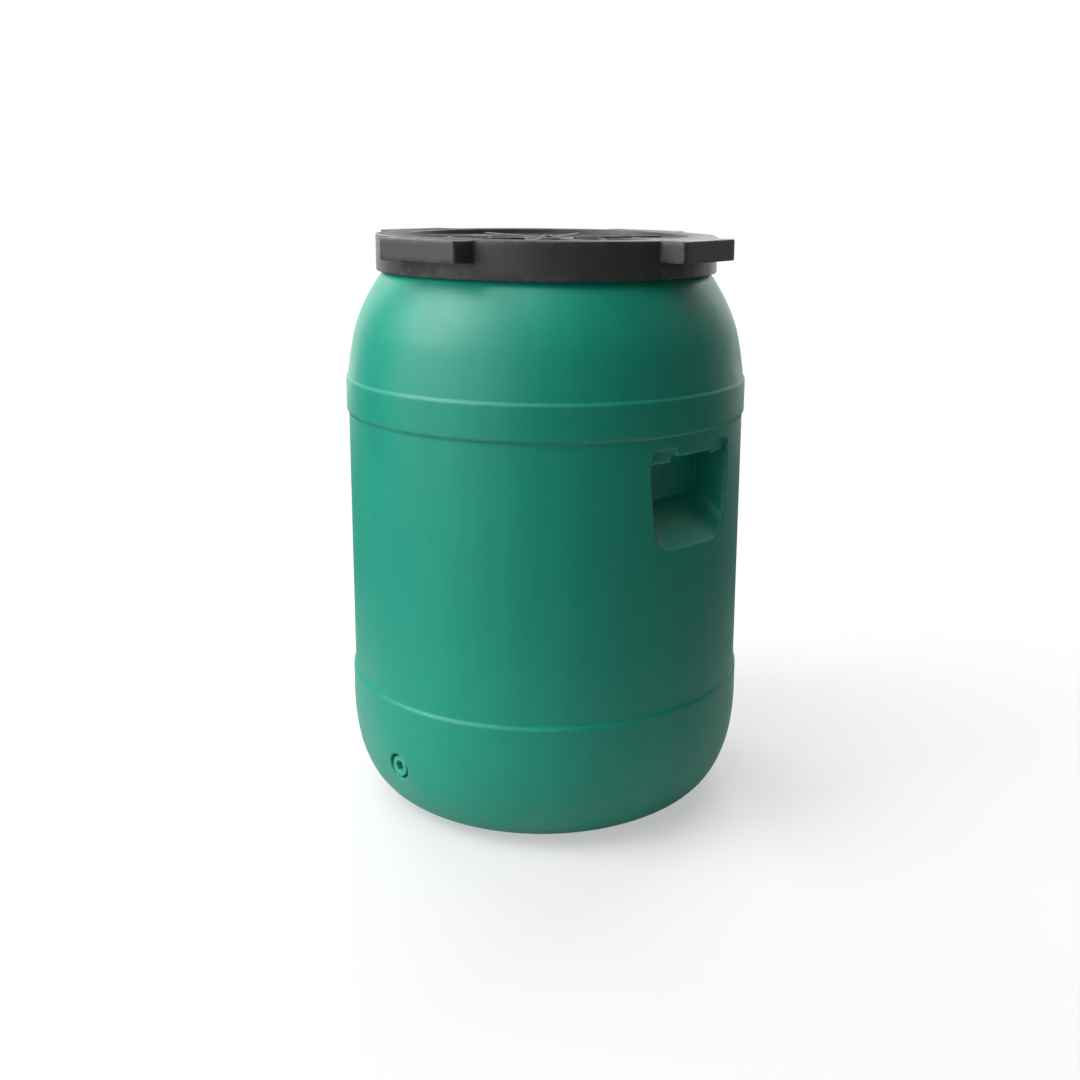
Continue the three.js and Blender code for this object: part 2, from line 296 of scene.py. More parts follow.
class Net:
    """A short way of writing shader nodes."""

    def __init__(self, nt):
        self.nt = nt
        tc = nt.nodes.new("ShaderNodeTexCoord")
        self.obj = tc.outputs["Object"]

    def link(self, a, b):
        self.nt.links.new(a, b)

    def node(self, kind, **props):
        n = self.nt.nodes.new(kind)
        for k, v in props.items():
            setattr(n, k, v)
        return n

    def mapping(self, scale=(1, 1, 1), loc=(0, 0, 0), rot=(0, 0, 0), src=None):
        n = self.node("ShaderNodeMapping")
        n.inputs["Scale"].default_value = scale
        n.inputs["Location"].default_value = loc
        n.inputs["Rotation"].default_value = rot
        self.link(src or self.obj, n.inputs["Vector"])
        return n.outputs[0]

    def noise(self, scale, detail=3.0, rough=0.55, vec=None, distortion=0.0):
        n = self.node("ShaderNodeTexNoise")
        n.inputs["Scale"].default_value = scale
        n.inputs["Detail"].default_value = detail
        n.inputs["Roughness"].default_value = rough
        n.inputs["Distortion"].default_value = distortion
        self.link(vec or self.obj, n.inputs["Vector"])
        return n.outputs["Fac"]

    def ramp(self, src, lo, hi, a=0.0, b=1.0, smooth=True):
        n = self.node("ShaderNodeMapRange")
        n.interpolation_type = "SMOOTHSTEP" if smooth else "LINEAR"
        n.inputs["From Min"].default_value = lo
        n.inputs["From Max"].default_value = hi
        n.inputs["To Min"].default_value = a
        n.inputs["To Max"].default_value = b
        self.link(src, n.inputs["Value"])
        return n.outputs[0]

    def math(self, op, a, b=None, clamp=False):
        n = self.node("ShaderNodeMath", operation=op, use_clamp=clamp)
        for i, x in enumerate((a, b)):
            if x is None:
                continue
            if isinstance(x, (int, float)):
                n.inputs[i].default_value = x
            else:
                self.link(x, n.inputs[i])
        return n.outputs[0]

    def mix(self, fac, a, b):
        n = self.node("ShaderNodeMix", data_type="RGBA")
        if isinstance(fac, (int, float)):
            n.inputs[0].default_value = fac
        else:
            self.link(fac, n.inputs[0])
        for i, x in ((6, a), (7, b)):
            if isinstance(x, (tuple, list)):
                n.inputs[i].default_value = tuple(x) + ((1.0,) if len(x) == 3 else ())
            else:
                self.link(x, n.inputs[i])
        return n.outputs[2]

    def attr(self, name):
        n = self.node("ShaderNodeAttribute", attribute_name=name)
        return n.outputs["Fac"]

    def sep(self, src=None):
        n = self.node("ShaderNodeSeparateXYZ")
        self.link(src or self.obj, n.inputs[0])
        return n.outputs

    def bump(self, height, distance, strength=1.0, normal=None):
        n = self.node("ShaderNodeBump")
        n.inputs["Strength"].default_value = strength
        n.inputs["Distance"].default_value = distance
        self.link(height, n.inputs["Height"])
        if normal is not None:
            self.link(normal, n.inputs["Normal"])
        return n.outputs[0]


def plastic(name, colour, dark, light, rough=0.4, peel=0.00012, wave=0.0, seam=False, scuff=0.5, wear=0.5, dust=0.0, coat=0.0, spec=0.5, grain=620.0):
    """Moulded polyethylene: mottled colour, fine orange peel, scuffs that run round the part, and rubbed corners."""
    mat = bpy.data.materials.new(name)
    nt, bs = nodes_of(mat)
    n = Net(nt)
    x, y, z = n.sep()
    big = n.noise(3.1, 3.0, 0.5)
    streak = n.noise(1.0, 4.0, 0.6, vec=n.mapping((26, 26, 1.6)))
    fine = n.noise(70, 4.0, 0.6)
    col = n.mix(n.ramp(big, 0.32, 0.7), dark, colour)
    col = n.mix(n.ramp(streak, 0.35, 0.75, 0.0, 0.45), col, light)
    col = n.mix(n.ramp(fine, 0.52, 0.75, 0.0, 0.22), col, dark)
    # scuffs: thin broken lines, mostly level, where the part is handled and stood
    s1 = n.noise(1.0, 5.0, 0.65, vec=n.mapping((9, 9, 210), rot=(0.05, 0.03, 0.4)), distortion=0.35)
    s2 = n.noise(1.0, 5.0, 0.65, vec=n.mapping((60, 14, 240), rot=(0.5, -0.35, 1.1)), distortion=0.3)
    patch = n.ramp(n.noise(7.5, 3.0, 0.6), 0.5, 0.68)
    lines = n.math("MAXIMUM", n.ramp(s1, 0.665, 0.72), n.ramp(s2, 0.675, 0.73))
    marks = n.math("MULTIPLY", n.math("MULTIPLY", lines, patch), scuff)
    w = n.attr("wear")
    rub = n.math("MULTIPLY", n.math("MULTIPLY", w, n.ramp(n.noise(95, 4.0, 0.65), 0.42, 0.62)), wear)
    pale = tuple(min(1.0, c * 0.55 + 0.2) for c in light)
    col = n.mix(n.math("MULTIPLY", marks, 0.5), col, pale)
    col = n.mix(rub, col, pale)
    if dust > 0:
        low = n.ramp(z, 0.09, 0.0)
        d = n.math("MULTIPLY", n.math("MULTIPLY", low, n.ramp(n.noise(24, 5.0, 0.65), 0.35, 0.75)), dust)
        col = n.mix(d, col, (0.36, 0.35, 0.31))
    n.link(col, bs.inputs["Base Color"])
    r = n.math("ADD", n.ramp(n.noise(14, 4.0, 0.6), 0.3, 0.75, rough - 0.05, rough + 0.06), n.math("MULTIPLY", marks, 0.25))
    r = n.math("ADD", r, n.math("MULTIPLY", rub, 0.18), clamp=True)
    n.link(r, bs.inputs["Roughness"])
    nrm = n.bump(n.noise(grain, 2.0, 0.5), peel, 1.0)
    if wave > 0:
        nrm = n.bump(n.noise(6.5, 2.0, 0.45, vec=n.mapping((1, 1, 0.6))), wave, 1.0, nrm)
    nrm = n.bump(marks, 0.00018, 1.0, nrm)
    if seam:
        # the mould's parting line, a fine raised thread of material in the plane y = 0
        d = n.math("ABSOLUTE", y)
        nrm = n.bump(n.ramp(d, 0.0009, 0.0), 0.00016, 1.0, nrm)
    n.link(nrm, bs.inputs["Normal"])
    bs.inputs["Specular IOR Level"].default_value = spec
    bs.inputs["IOR"].default_value = 1.5
    if coat:
        bs.inputs["Coat Weight"].default_value = coat
        bs.inputs["Coat Roughness"].default_value = 0.3
    return mat


def rubber(name, colour=(0.016, 0.016, 0.017)):
    mat = bpy.data.materials.new(name)
    nt, bs = nodes_of(mat)
    n = Net(nt)
    col = n.mix(n.ramp(n.noise(40, 4.0, 0.6), 0.3, 0.7), colour, tuple(c * 2.1 for c in colour))
    bloom = n.ramp(n.noise(9, 4.0, 0.6), 0.55, 0.8, 0.0, 0.4)
    col = n.mix(bloom, col, (0.075, 0.075, 0.073))
    n.link(col, bs.inputs["Base Color"])
    n.link(n.ramp(n.noise(120, 3.0, 0.6), 0.3, 0.7, 0.62, 0.85), bs.inputs["Roughness"])
    n.link(n.bump(n.noise(1500, 2.0, 0.5), 0.00008, 1.0), bs.inputs["Normal"])
    return mat


GREEN = (0.006, 0.325, 0.222)
green = plastic("green_polyethylene", GREEN, (0.005, 0.285, 0.2), (0.009, 0.36, 0.238), rough=0.41, wave=0.0011, seam=True, scuff=0.3, wear=0.28, dust=0.16)
green_plug = plastic("green_moulding", (0.02, 0.40, 0.27), (0.015, 0.34, 0.23), (0.03, 0.45, 0.3), rough=0.38, scuff=0.3, wear=0.35)
black = plastic("black_polyethylene", (0.047, 0.047, 0.048), (0.039, 0.039, 0.040), (0.056, 0.056, 0.057), rough=0.43, peel=0.00016, scuff=0.55, wear=0.25, grain=900.0)
natural = plastic("natural_polyethylene", (0.70, 0.72, 0.67), (0.62, 0.64, 0.58), (0.76, 0.77, 0.73), rough=0.42, scuff=0.25, wear=0.1)
seal_black = rubber("seal_rubber")

# ------------------------------------------------------------------ drum body
# One closed skin: an outer sheet and an inner sheet on the same columns, joined at the rim and in the drain's bore.
RECESS_COLS, RECESS_ROWS = 44, 36
DRAIN_COLS, DRAIN_ROWS = 12, 12
DRAIN_Z, DRAIN_SEAT, BOSS_INNER = 64.0, 188.0, 174.0
BACK_X = 157.0


def spread(a, b, n):
    return list(np.linspace(a, b, n + 1)[:-1])


half_recess = math.degrees(math.asin(60 / 198))
half_drain = math.degrees(math.asin(19 / 197))
theta = []
theta += spread(-half_recess, half_recess, RECESS_COLS)
theta += spread(half_recess, 180 - half_recess, 60)
theta += spread(180 - half_recess, 180 + half_recess, RECESS_COLS)
theta += spread(180 + half_recess, 270 - half_drain, 28)
theta += spread(270 - half_drain, 270 + half_drain, DRAIN_COLS)
theta += spread(270 + half_drain, 360 - half_recess, 28)
theta = np.radians(theta)
COLS = len(theta)
I_RIGHT = 0
I_LEFT = RECESS_COLS + 60
I_DRAIN = I_LEFT + RECESS_COLS + 28


def smooth_curve(points, n):
    """A monotone curve through (r, z) points, sampled n times by height."""
    p = sorted(points, key=lambda q: q[1])
    z = np.array([q[1] for q in p], float)
    r = np.array([q[0] for q in p], float)
    h = np.diff(z)
    d = np.diff(r) / h
    m = np.zeros(len(z))
    m[0], m[-1] = d[0], d[-1]
    for i in range(1, len(z) - 1):
        if d[i - 1] * d[i] <= 0:
            m[i] = 0
        else:
            w1, w2 = 2 * h[i] + h[i - 1], h[i] + 2 * h[i - 1]
            m[i] = (w1 + w2) / (w1 / d[i - 1] + w2 / d[i])
    out = []
    for t in np.linspace(z[0], z[-1], n):
        i = min(max(np.searchsorted(z, t) - 1, 0), len(h) - 1)
        s = (t - z[i]) / h[i]
        out.append((
            (2 * s**3 - 3 * s**2 + 1) * r[i] + (s**3 - 2 * s**2 + s) * h[i] * m[i]
            + (-2 * s**3 + 3 * s**2) * r[i + 1] + (s**3 - s**2) * h[i] * m[i + 1], t))
    return out


def step(z_hi, r_hi, z_lo, r_lo, n=5):
    """A soft step in the wall from one radius to another."""
    out = []
    for k in range(n + 1):
        t = k / n
        s = t * t * (3 - 2 * t)
        out.append((r_hi + (r_lo - r_hi) * s, z_hi + (z_lo - z_hi) * t))
    return out


shoulder = smooth_curve([(165.9, 524), (172.7, 513), (179.4, 501), (185.9, 486.5), (191.0, 471), (194.6, 453), (196.9, 438), (197.9, 430.5)], 26)[::-1]
knuckle = smooth_curve([(146.5, 0.02), (160, 4.5), (174.5, 13.5), (184, 25), (191, 40), (196, 57), (199, 78), (199.95, 93)], 34)[::-1]


def rows_outer():
    rows = [(159.0, 555.9), (160.1, 555.84), (160.75, 555.45), (161.0, 554.7), (161.0, 553.5), (161.0, 548), (161.0, 542), (161.0, 536.5), (161.0, 532.6), (161.6, 530.2), (163.2, 527.4)]
    rows += shoulder
    rows += step(429.2, 198.0, 425.6, 199.95)
    rows += [(200.0, 424.2)] + [(200.0, z) for z in (419, 413, 407, 401)] + [(200.0, 396.6)]
    rows += step(395.3, 199.95, 391.9, 198.05)
    rows += [(198.0, 390.6), (198.0, 388.4)]
    rows += [(198.0, z) for z in np.linspace(386, 279, RECESS_ROWS + 1)]
    rows += [(198.0, z) for z in (276, 272, 266, 258, 248, 236, 222, 208, 194, 180, 166, 154, 144, 137.5, 133.5)]
    rows += step(131.6, 198.0, 127.6, 199.95)
    rows += [(200.0, 126.2), (200.0, 121), (200.0, 114), (200.0, 106), (200.0, 99), (200.0, 95.2)]
    rows += [p for p in knuckle if p[1] > DRAIN_Z + 20]
    kz = np.array([p[1] for p in knuckle[::-1]])
    kr = np.array([p[0] for p in knuckle[::-1]])
    rows += [(float(np.interp(z, kz, kr)), z) for z in np.linspace(DRAIN_Z + 19, DRAIN_Z - 19, DRAIN_ROWS + 1)]
    rows += [p for p in knuckle if p[1] < DRAIN_Z - 20]
    rows += [(144.5, 0.0), (136, 0.0), (124, 0.0), (115, 0.0), (112, 0.35), (109, 1.7), (104, 4.4), (100.5, 6.2), (97.5, 6.9), (94, 7.0)]
    rows += [(80, 7.0), (60, 7.0), (40, 7.0), (22, 7.0), (8, 7.0)]
    return rows


def rows_inner():
    rows = [(157.9, 555.84), (157.25, 555.45), (157.0, 554.7), (157.0, 552), (157.0, 545), (157.0, 538), (157.0, 532.5), (157.8, 529.5), (160.0, 526)]
    inside = smooth_curve([(162.8, 522.5), (169.6, 511.3), (176.4, 499.3), (182.8, 484.9), (187.9, 469.6), (191.4, 451.8), (193.8, 436.6), (195, 428)], 16)[::-1]
    rows += inside
    rows += [(195.0, 420), (195.0, 410), (195.0, 401)]
    rows += [(195.0, z) for z in np.linspace(395.5, 275.5, RECESS_ROWS + 1)]
    rows += [(195.0, z) for z in (270, 260, 246, 230, 212, 194, 176, 160, 148, 140, 134)]
    rows += step(131, 195.0, 126.5, 197.0, 3)
    rows += [(197.0, 118), (197.0, 108), (197.0, 98)]
    low = smooth_curve([(145.5, 3.2), (158.5, 7.5), (172, 15.7), (181, 26.6), (187.9, 41.2), (193, 57.8), (196, 78.5), (197.0, 93)], 30)[::-1]
    rows += [p for p in low if p[1] > DRAIN_Z + 25]
    kz = np.array([p[1] for p in low[::-1]])
    kr = np.array([p[0] for p in low[::-1]])
    rows += [(float(np.interp(z, kz, kr)), z) for z in np.linspace(DRAIN_Z + 24, DRAIN_Z - 24, DRAIN_ROWS + 1)]
    rows += [p for p in low if p[1] < DRAIN_Z - 25]
    rows += [(140, 3.2), (126, 3.2), (115, 3.2), (111, 4.0), (105, 7.0), (99, 9.6), (95, 10.0), (75, 10.0), (50, 10.0), (26, 10.0), (8, 10.0)]
    return rows


def along(points, n):
    """n + 1 points evenly spaced along a polyline."""
    p = np.array(points, float)
    seg = np.linalg.norm(np.diff(p, axis=0), axis=1)
    s = np.concatenate([[0], np.cumsum(seg)])
    t = np.linspace(0, s[-1], n + 1)
    return np.stack([np.interp(t, s, p[:, 0]), np.interp(t, s, p[:, 1])], axis=1)


def arc(cy, cz, r, a0, a1, n=8):
    return [(cy + r * math.cos(rad(a)), cz + r * math.sin(rad(a))) for a in np.linspace(a0, a1, n + 1)]


def outline(half_low, half_high, low, high, r_low, r_high, z_wide, tab=None):
    """A closed outline as N points, counterclockwise from the middle of the lower left corner. tab is (half width, drop)."""
    bl = arc(-half_low + r_low, low + r_low, r_low, 225, 270)
    br = arc(half_low - r_low, low + r_low, r_low, 270, 315)
    bottom = along(bl + br, RECESS_COLS)
    right = along(arc(half_low - r_low, low + r_low, r_low, 315, 360) + [(half_high, z_wide)] + arc(half_high - r_high, high - r_high, r_high, 0, 45), RECESS_ROWS)
    corner = arc(half_high - r_high, high - r_high, r_high, 45, 90)
    if tab:
        w, drop = tab
        a = along(corner + [(w + 2.5, high)], 12)
        b = along([(w + 2.5, high), (w, high - drop)], 2)
        c = along([(w, high - drop), (-w, high - drop)], 16)
        top = np.concatenate([a[:-1], b[:-1], c[:-1], (b * [-1, 1])[::-1][:-1], (a * [-1, 1])[::-1]])
    else:
        mirrored = [(-p[0], p[1]) for p in corner[::-1]]
        top = along(corner + mirrored, RECESS_COLS)
    left = (right * [-1, 1])[::-1]
    return np.concatenate([bottom[:-1], right[:-1], top[:-1], left[:-1]])


def outward(p):
    t = np.roll(p, -1, axis=0) - np.roll(p, 1, axis=0)
    t = t / np.linalg.norm(t, axis=1, keepdims=True)
    return np.stack([t[:, 1], -t[:, 0]], axis=1)


# Sections through the recess's edge: (offset outwards or up, share of the way to the back outline, share of the way to the
# back plane, extra depth), from the wall to the back.
SIDE = [(5, 0, 0, 0), (3.0, 0, 0, 0), (1.9, 0, 0, 0.05), (0.75, 0, 0, 0.5), (0.15, 0, 0, 1.5), (0, 0.06, 0.06, 1.6), (0, 0.15, 0.15, 1.0),
        (0, 0.26, 0.26, 0.5), (0, 0.37, 0.37, 0.2), (0, 0.48, 0.48, 0), (0, 0.59, 0.59, 0), (0, 0.69, 0.69, 0), (0, 0.78, 0.78, 0), (0, 0.86, 0.86, 0),
        (0, 0.93, 0.93, 0), (0, 0.975, 0.98, 0)]
TAB = [(13, 0, 0, 0), (6, 0, 0, 0), (2.4, 0, 0, 0.05), (0.9, 0, 0, 0.4), (0.15, 0, 0, 1.4), (0, 0, 0, 3.2), (0, 0, 0, 5.6), (0.3, 0, 0, 7.6), (1.6, 0, 0, 8.8),
       (5, 0, 0, 9.2), (9.5, 0, 0, 9.5), (12.3, 0, 0, 11), (13, 0, 0, 14.5), (13, 0, 0.45, 4), (12.6, 0, 0.78, 2), (10.5, 0, 0.95, 0)]
NOTCH = [(5, 0, 0, 0), (3.2, 0, 0, 0), (1.9, 0, 0, 0.05), (0.75, 0, 0, 0.45), (0.12, 0, 0, 1.4), (0, 0, 0, 3.0), (-1.0, 0, 0, 4.4), (-5, 0, 0, 4.9), (-11.5, 0, 0, 5.0),
         (-13.8, 0, 0, 6.2), (-13.8, 0, 0, 8.0), (-11.5, 0, 0, 9.4), (-3, 0, 0, 9.8), (4.2, 0, 0, 12.5), (4.6, 0, 0.6, 3), (2.5, 0, 0.95, 0)]


def recess_loops(inner, radius_at):
    """Loops of local (x outwards, y to the right, z) points for a hand recess, from the wall to the back."""
    if inner:
        s = outline(53.5, 58.5, 283.5, 390, 24, 10, 356)
        b = outline(50.5, 51, 321, 381.5, 12, 10, 356)
        back = BACK_X - 3
    else:
        s = outline(50, 55, 287, 381, 22, 8, 356, tab=(26.5, 8))
        b = outline(47.5, 48, 324, 378, 10, 9, 356)
        back = BACK_X
    n_out = outward(s)
    n = len(s)
    i_tr = RECESS_COLS + RECESS_ROWS
    wt, wn = np.zeros(n), np.zeros(n)
    if not inner:
        # back outline points on the top run straight behind the lip's
        for k in range(i_tr, i_tr + RECESS_COLS + 1):
            y = s[k % n][0] * 48 / 55
            edge = 48 - abs(y)
            z = 378 if edge > 9 else 369 + math.sqrt(max(0, 81 - (9 - edge) ** 2))
            b[k % n] = (y, z)
        for k in range(n):
            y, z = s[k]
            on_top = i_tr <= k <= i_tr + RECESS_COLS
            if on_top and abs(y) <= 26.51:
                wt[k] = 1
            elif on_top and abs(y) < 28.9:
                wt[k], wn[k] = 0.5, 0.5
            else:
                up = (z - 360) / 14
                side = (abs(y) - 42) / 12
                if z > 360:
                    f = 1.0 if on_top and abs(y) < 45 else min(1.0, max(0.0, up)) * (1.0 if on_top else 0.85)
                    wn[k] = f if abs(y) < 54.8 else 0.75 * f
    ws = 1 - wt - wn
    up = np.tile([0.0, 1.0], (n, 1))
    loops = []
    count = len(SIDE)
    for k in range(count):
        pos = np.zeros((n, 3))
        for table_, weight, direction in ((SIDE, ws, n_out), (TAB, wt, up), (NOTCH, wn, up)):
            a, w, g, d = table_[k]
            yz = s + direction * a + (b - s) * w
            xs = np.sqrt(np.maximum(radius_at(yz[:, 1]) ** 2 - yz[:, 0] ** 2, 0))
            x = (1 - g) * xs + g * back - d
            pos += weight[:, None] * np.stack([x, yz[:, 0], yz[:, 1]], axis=1)
        loops.append(pos)
    nb = outward(b)
    loops.append(np.stack([np.full(n, back), b[:, 0], b[:, 1]], axis=1))
    q = b - nb * 3.5
    loops.append(np.stack([np.full(n, back), q[:, 0], q[:, 1]], axis=1))
    # keep the first loop exactly on the wall
    first = loops[0]
    first[:, 0] = np.sqrt(radius_at(first[:, 2]) ** 2 - first[:, 1] ** 2)
    return loops


def drain_loops(inner, radius_at):
    n = 2 * (DRAIN_COLS + DRAIN_ROWS)
    ang = np.radians(225 + 360 * np.arange(n) / n)
    if inner:
        table_ = [(23.5, None, 0), (19.6, None, 0.1), (17.4, None, 0.7), (16.4, None, 2.0), (16.05, None, 4.5), (16.0, 177.5, 0), (16.0, 175.6, 0), (15.5, 174.4, 0), (14.2, 174.0, 0), (11.5, 174.0, 0), (9.3, 174.0, 0), (8.6, 174.15, 0)]
    else:
        table_ = [(19, None, 0), (15.2, None, 0), (13.9, None, 0.1), (13.0, None, 0.6), (12.6, None, 1.6), (12.45, None, 3.2), (12.3, 191.5, 0), (12.1, 189.2, 0), (11.7, 188.2, 0), (10.9, 188.0, 0), (9.6, 188.0, 0), (8.8, 187.9, 0), (8.35, 187.3, 0), (8.3, 186, 0), (8.3, 181, 0), (8.3, 176, 0), (8.35, 174.7, 0)]
    loops = []
    for r, rho, d in table_:
        y = r * np.cos(ang)
        z = DRAIN_Z + r * np.sin(ang)
        x = np.sqrt(radius_at(z) ** 2 - y**2) - d if rho is None else np.full(n, rho)
        loops.append(np.stack([x, y, z], axis=1))
    return loops


def sheet(rows, inner, shape):
    rows = np.array(rows, float)
    J = len(rows)
    wall = rows[rows[:, 1] > (3.3 if inner else 0.05)]
    wall = wall[wall[:, 0] > 143]
    order = np.argsort(wall[:, 1])
    wz, wr = wall[order, 1], wall[order, 0]

    def radius_at(z):
        return np.interp(z, wz, wr)

    TH = np.tile(theta, (J, 1))
    Z = np.tile(rows[:, 1:2], (1, COLS))
    R = np.tile(rows[:, 0:1], (1, COLS))
    holes = []
    skip = np.zeros((J, COLS), bool)
    specs = []
    top_z, low_z = (395.5, 275.5) if inner else (386, 279)
    dz = 24 if inner else 19
    for name, i0, nc, nr, z_top, centre in (
        ("right", I_RIGHT, RECESS_COLS, RECESS_ROWS, top_z, 0.0),
        ("left", I_LEFT, RECESS_COLS, RECESS_ROWS, top_z, math.pi),
        ("drain", I_DRAIN, DRAIN_COLS, DRAIN_ROWS, DRAIN_Z + dz, 1.5 * math.pi),
    ):
        j0 = int(np.argmin(np.abs(rows[:, 1] - z_top) + 1000 * (rows[:, 0] < 150)))
        specs.append((name, i0, nc, j0, nr, centre))
    for name, i0, nc, j0, nr, centre in specs:
        loops = drain_loops(inner, radius_at) if name == "drain" else recess_loops(inner, radius_at)
        j1 = j0 + nr
        ring = [(j1, i0 + k) for k in range(nc)] + [(j1 - k, i0 + nc) for k in range(nr)]
        ring += [(j0, i0 + nc - k) for k in range(nc)] + [(j0 + k, i0) for k in range(nr)]
        pad = 9
        ii = np.arange(i0 - pad, i0 + nc + pad + 1)
        jj = np.arange(max(j0 - pad, 1), min(j1 + pad, J - 2) + 1)
        cols = ii % COLS
        base_th = theta[cols] + 2 * math.pi * (ii // COLS)
        base_z = rows[jj, 1]
        DT = np.zeros((len(jj), len(ii)))
        DZ = np.zeros((len(jj), len(ii)))
        fixed = np.zeros((len(jj), len(ii)), bool)
        fixed[0, :] = fixed[-1, :] = True
        fixed[:, 0] = fixed[:, -1] = True
        for (j, i), p in zip(ring, loops[0]):
            a, b = j - jj[0], i - ii[0]
            th = centre + math.atan2(p[1], p[0])
            th = (th - base_th[b] + math.pi) % (2 * math.pi) - math.pi
            DT[a, b] = th
            DZ[a, b] = p[2] - base_z[a]
            fixed[a, b] = True
        inside = np.zeros_like(fixed)
        inside[j0 - jj[0] + 1:j1 - jj[0], i0 - ii[0] + 1:i0 + nc - ii[0]] = True
        fixed |= inside
        for _ in range(500):
            for D in (DT, DZ):
                avg = np.zeros_like(D)
                avg[1:-1, 1:-1] = (D[:-2, 1:-1] + D[2:, 1:-1] + D[1:-1, :-2] + D[1:-1, 2:]) / 4
                D[~fixed] = avg[~fixed]
        for a, j in enumerate(jj):
            for b, i in enumerate(ii):
                if inside[a, b] or (DT[a, b] == 0 and DZ[a, b] == 0):
                    continue
                TH[j, i % COLS] = theta[i % COLS] + DT[a, b]
                Z[j, i % COLS] = rows[j, 1] + DZ[a, b]
                R[j, i % COLS] = radius_at(Z[j, i % COLS])
        skip[j0:j1, [(i0 + k) % COLS for k in range(nc)]] = True
        holes.append((name, ring, loops, nc, nr, centre))
    verts = np.stack([R * np.cos(TH), R * np.sin(TH), Z], axis=2)
    used = np.ones((J, COLS), bool)
    for name, ring, loops, nc, nr, centre in holes:
        j0, i0 = ring[nc + nr + nc][0], ring[0][1]
        for j in range(j0 + 1, j0 + nr):
            for k in range(1, nc):
                used[j, (i0 + k) % COLS] = False
    index = -np.ones((J, COLS), int)
    flat = []
    for j in range(J):
        for i in range(COLS):
            if used[j, i]:
                index[j, i] = len(flat)
                flat.append(tuple(verts[j, i]))
    faces = []
    for j in range(J - 1):
        for i in range(COLS):
            if skip[j, i]:
                continue
            i2 = (i + 1) % COLS
            faces.append((index[j, i], index[j + 1, i], index[j + 1, i2], index[j, i2]))
    edge_loop = None
    for name, ring, loops, nc, nr, centre in holes:
        c, s_ = math.cos(centre), math.sin(centre)
        prev = [index[j, i % COLS] for j, i in ring]
        n = len(prev)
        for pts in loops[1:]:
            cur = []
            for x, y, z in pts:
                cur.append(len(flat))
                flat.append((x * c - y * s_, x * s_ + y * c, z))
            for k in range(n):
                k2 = (k + 1) % n
                faces.append((prev[k], prev[k2], cur[k2], cur[k]))
            prev = cur
        if name == "drain":
            edge_loop = prev
            continue
        # fill the back with a grid between the last loop's four sides
        last = np.array([flat[k] for k in prev])
        G = -np.ones((nc + 1, nr + 1), int)
        P = np.zeros((nc + 1, nr + 1, 3))
        for k in range(n):
            if k < nc:
                a, b = k, 0
            elif k < nc + nr:
                a, b = nc, k - nc
            elif k < 2 * nc + nr:
                a, b = nc - (k - nc - nr), nr
            else:
                a, b = 0, nr - (k - 2 * nc - nr)
            G[a, b] = prev[k]
            P[a, b] = last[k]
        for a in range(1, nc):
            for b in range(1, nr):
                u, v = a / nc, b / nr
                P[a, b] = ((1 - v) * P[a, 0] + v * P[a, nr] + (1 - u) * P[0, b] + u * P[nc, b]
                           - (1 - u) * (1 - v) * P[0, 0] - u * (1 - v) * P[nc, 0] - (1 - u) * v * P[0, nr] - u * v * P[nc, nr])
                G[a, b] = len(flat)
                flat.append(tuple(P[a, b]))
        for a in range(nc):
            for b in range(nr):
                faces.append((G[a, b], G[a + 1, b], G[a + 1, b + 1], G[a, b + 1]))
    # the pole at the middle of the base
    pole = len(flat)
    flat.append((0, 0, rows[-1, 1]))
    for i in range(COLS):
        faces.append((index[J - 1, i], pole, index[J - 1, (i + 1) % COLS]))
    if inner:
        faces = [tuple(reversed(f)) for f in faces]
    n0 = shape.add(flat, faces)
    return [n0 + index[0, i] for i in range(COLS)], [n0 + k for k in edge_loop]


body_shape = Shape()
rim_out, bore_out = sheet(rows_outer(), False, body_shape)
rim_in, bore_in = sheet(rows_inner(), True, body_shape)
for i in range(COLS):
    i2 = (i + 1) % COLS
    body_shape.f.append((rim_out[i], rim_out[i2], rim_in[i2], rim_in[i]))
for k in range(len(bore_out)):
    k2 = (k + 1) % len(bore_out)
    body_shape.f.append((bore_out[k], bore_out[k2], bore_in[k2], bore_in[k]))
for k in range(3):
    body_shape.merge(helix(161.0, 164.5, 4.0, 1.9, 536.5, 120 * k, 165, 24, 90, fade=0.12))
body = finish_mesh("drum_shell", body_shape, green, subdivide=1)
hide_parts("drum_body")
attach(body, "drum")

# ------------------------------------------------------------------ screw lid
R_LID, R_LID_IN, R_PANEL = 168.5, 165.2, 140.0
LUG_FACE, LUG_HALF, LUG_LOW, LUG_TURN = 188.0, 45.0, 545.0, 7.8
Z_PANEL = 560.0


